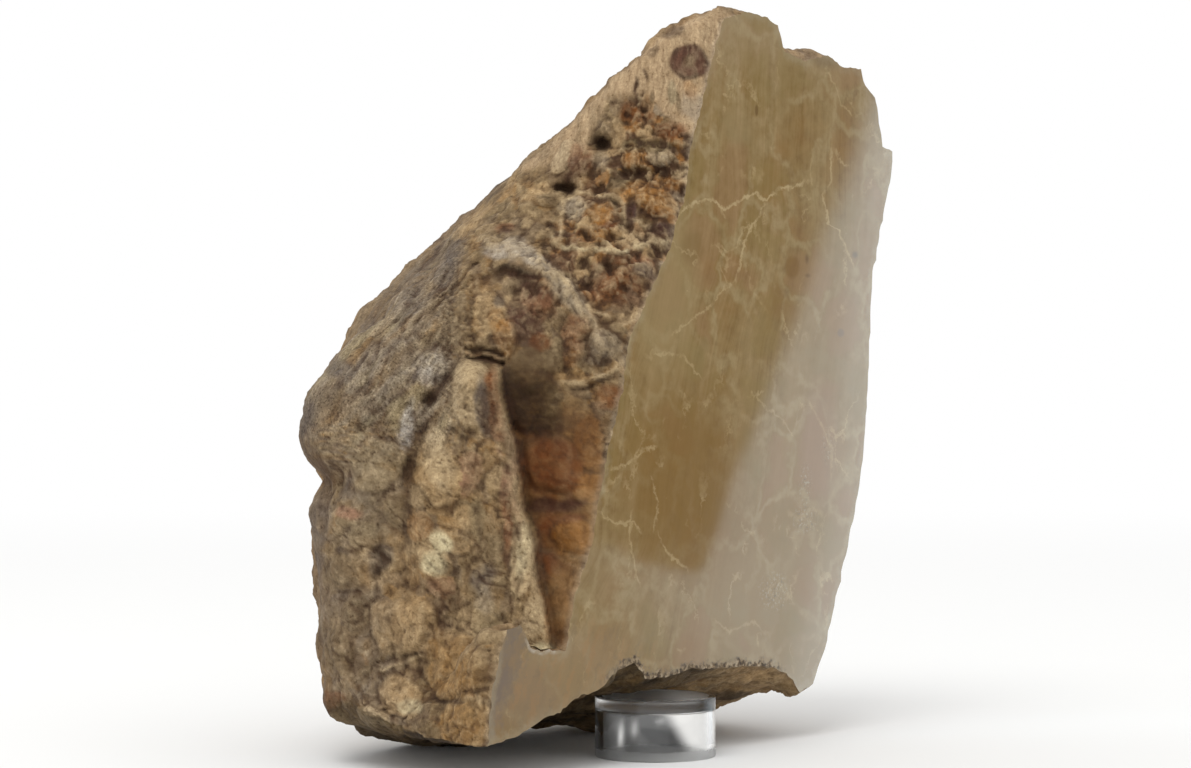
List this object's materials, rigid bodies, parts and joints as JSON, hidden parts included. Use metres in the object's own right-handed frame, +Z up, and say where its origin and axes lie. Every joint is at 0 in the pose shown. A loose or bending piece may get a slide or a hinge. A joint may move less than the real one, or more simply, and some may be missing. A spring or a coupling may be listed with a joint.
{
  "type": "polished stromatolite slab",
  "caption": "Block of stromatolite rock with one sawn, polished face and a rough natural rind, propped on a short clear riser.",
  "frame": {"origin": "on the standing surface, under the middle of the bounding box", "axes": "+Z up, -Y out of the polished face, +X to the right along that face as seen from in front of it"},
  "size_m": [0.1418, 0.0862, 0.1597],
  "materials": {
    "stone": "rough natural rind, one polished face",
    "clear_acrylic": "clear, polished"
  },
  "bodies": {
    "root": {"stromatolite_rock": "stone", "acrylic_riser": "clear_acrylic"}
  },
  "joints": []
}
